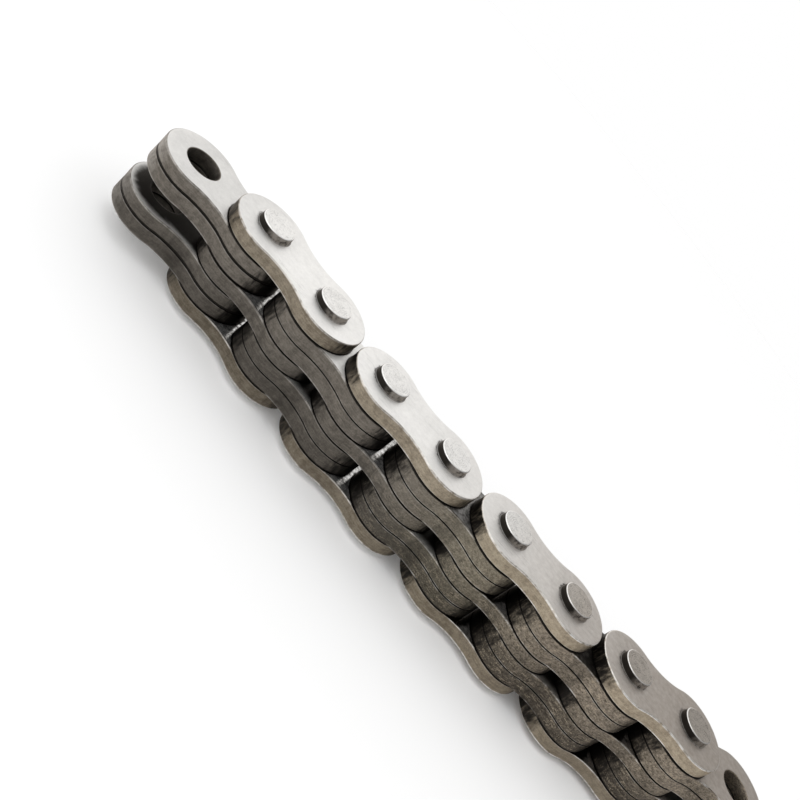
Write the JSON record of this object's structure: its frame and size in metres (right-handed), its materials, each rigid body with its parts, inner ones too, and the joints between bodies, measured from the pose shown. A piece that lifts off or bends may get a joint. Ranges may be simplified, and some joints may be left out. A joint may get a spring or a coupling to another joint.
{
  "type": "leaf chain",
  "caption": "Laced steel leaf chain: waisted plates stacked on riveted pins, free to flex at every pin, with an open clevis hole at each end.",
  "frame": {"origin": "middle of the clevis hole at the far end, half way across the chain's width", "axes": "+Z along the pins, towards the top plates; +X along the middle link, from the near end to the far end; the chain lies on its side"},
  "size_m": [0.1885, 0.0264, 0.0264],
  "materials": {
    "pin_link_plate": "satin, with browned sheared edges",
    "inner_plate": "satin, with dark sheared edges and a film of oil",
    "pin": "hardened and ground, ends riveted"
  },
  "bodies": {
    "near_end_plate_1": {"near_end_plate_1": "inner_plate"},
    "near_end_plate_2": {"near_end_plate_2": "inner_plate"},
    "near_end_plate_3": {"near_end_plate_3": "inner_plate"},
    "near_end_plate_4": {"near_end_plate_4": "inner_plate"},
    "pin_link_1": {"pin_link_1_top_plate": "pin_link_plate", "pin_link_1_middle_plate": "pin_link_plate", "pin_link_1_bottom_plate": "pin_link_plate", "pin_link_1_near_pin": "pin", "pin_link_1_far_pin": "pin"},
    "inner_link_1": {"inner_link_1_plate_1": "inner_plate", "inner_link_1_plate_2": "inner_plate", "inner_link_1_plate_3": "inner_plate", "inner_link_1_plate_4": "inner_plate"},
    "pin_link_2": {"pin_link_2_top_plate": "pin_link_plate", "pin_link_2_middle_plate": "pin_link_plate", "pin_link_2_bottom_plate": "pin_link_plate", "pin_link_2_near_pin": "pin", "pin_link_2_far_pin": "pin"},
    "inner_link_2": {"inner_link_2_plate_1": "inner_plate", "inner_link_2_plate_2": "inner_plate", "inner_link_2_plate_3": "inner_plate", "inner_link_2_plate_4": "inner_plate"},
    "pin_link_3": {"pin_link_3_top_plate": "pin_link_plate", "pin_link_3_middle_plate": "pin_link_plate", "pin_link_3_bottom_plate": "pin_link_plate", "pin_link_3_near_pin": "pin", "pin_link_3_far_pin": "pin"},
    "inner_link_3": {"inner_link_3_plate_1": "inner_plate", "inner_link_3_plate_2": "inner_plate", "inner_link_3_plate_3": "inner_plate", "inner_link_3_plate_4": "inner_plate"},
    "pin_link_4": {"pin_link_4_top_plate": "pin_link_plate", "pin_link_4_middle_plate": "pin_link_plate", "pin_link_4_bottom_plate": "pin_link_plate", "pin_link_4_near_pin": "pin", "pin_link_4_far_pin": "pin"},
    "far_end_plate_1": {"far_end_plate_1": "inner_plate"},
    "far_end_plate_2": {"far_end_plate_2": "inner_plate"},
    "far_end_plate_3": {"far_end_plate_3": "inner_plate"},
    "far_end_plate_4": {"far_end_plate_4": "inner_plate"}
  },
  "joints": [
    {"name": "flex_at_pin_4", "type": "hinge", "parent": "inner_link_2", "child": "pin_link_2", "pos_m": [-0.09462, -0.00734, 0], "axis": [0, 0, -1], "range_deg": [-108, 102]},
    {"name": "flex_at_pin_3", "type": "hinge", "parent": "pin_link_2", "child": "inner_link_1", "pos_m": [-0.11364, -0.00635, 0], "axis": [0, 0, 1], "range_deg": [-101.3, 108.7]},
    {"name": "flex_at_pin_2", "type": "hinge", "parent": "inner_link_1", "child": "pin_link_1", "pos_m": [-0.13256, -0.00413, 0], "axis": [0, 0, -1], "range_deg": [-107.5, 102.5]},
    {"name": "near_end_plate_1_swing", "type": "hinge", "parent": "pin_link_1", "child": "near_end_plate_1", "pos_m": [-0.15137, -0.00108, 0], "axis": [0, 0, 1], "range_deg": [-109.3, 100.7]},
    {"name": "near_end_plate_2_swing", "type": "hinge", "parent": "pin_link_1", "child": "near_end_plate_2", "pos_m": [-0.15137, -0.00108, 0], "axis": [0, 0, 1], "range_deg": [-109.3, 100.7]},
    {"name": "near_end_plate_3_swing", "type": "hinge", "parent": "pin_link_1", "child": "near_end_plate_3", "pos_m": [-0.15137, -0.00108, 0], "axis": [0, 0, 1], "range_deg": [-115.7, 94.3]},
    {"name": "near_end_plate_4_swing", "type": "hinge", "parent": "pin_link_1", "child": "near_end_plate_4", "pos_m": [-0.15137, -0.00108, 0], "axis": [0, 0, 1], "range_deg": [-115.7, 94.3]},
    {"name": "flex_at_pin_5", "type": "hinge", "parent": "inner_link_2", "child": "pin_link_3", "pos_m": [-0.07557, -0.00734, 0], "axis": [0, 0, -1], "range_deg": [-106.1, 103.9]},
    {"name": "flex_at_pin_6", "type": "hinge", "parent": "pin_link_3", "child": "inner_link_3", "pos_m": [-0.05652, -0.00771, 0], "axis": [0, 0, 1], "range_deg": [-109.1, 100.9]},
    {"name": "flex_at_pin_7", "type": "hinge", "parent": "inner_link_3", "child": "pin_link_4", "pos_m": [-0.0375, -0.00671, 0], "axis": [0, 0, -1], "range_deg": [-98.6, 111.4]},
    {"name": "far_end_plate_1_swing", "type": "hinge", "parent": "pin_link_4", "child": "far_end_plate_1", "pos_m": [-0.01871, -0.0036, 0], "axis": [0, 0, 1], "range_deg": [-106.5, 103.5]},
    {"name": "far_end_plate_2_swing", "type": "hinge", "parent": "pin_link_4", "child": "far_end_plate_2", "pos_m": [-0.01871, -0.0036, 0], "axis": [0, 0, 1], "range_deg": [-106.5, 103.5]},
    {"name": "far_end_plate_3_swing", "type": "hinge", "parent": "pin_link_4", "child": "far_end_plate_3", "pos_m": [-0.01871, -0.0036, 0], "axis": [0, 0, 1], "range_deg": [-106.5, 103.5]},
    {"name": "far_end_plate_4_swing", "type": "hinge", "parent": "pin_link_4", "child": "far_end_plate_4", "pos_m": [-0.01871, -0.0036, 0], "axis": [0, 0, 1], "range_deg": [-106.5, 103.5]}
  ]
}
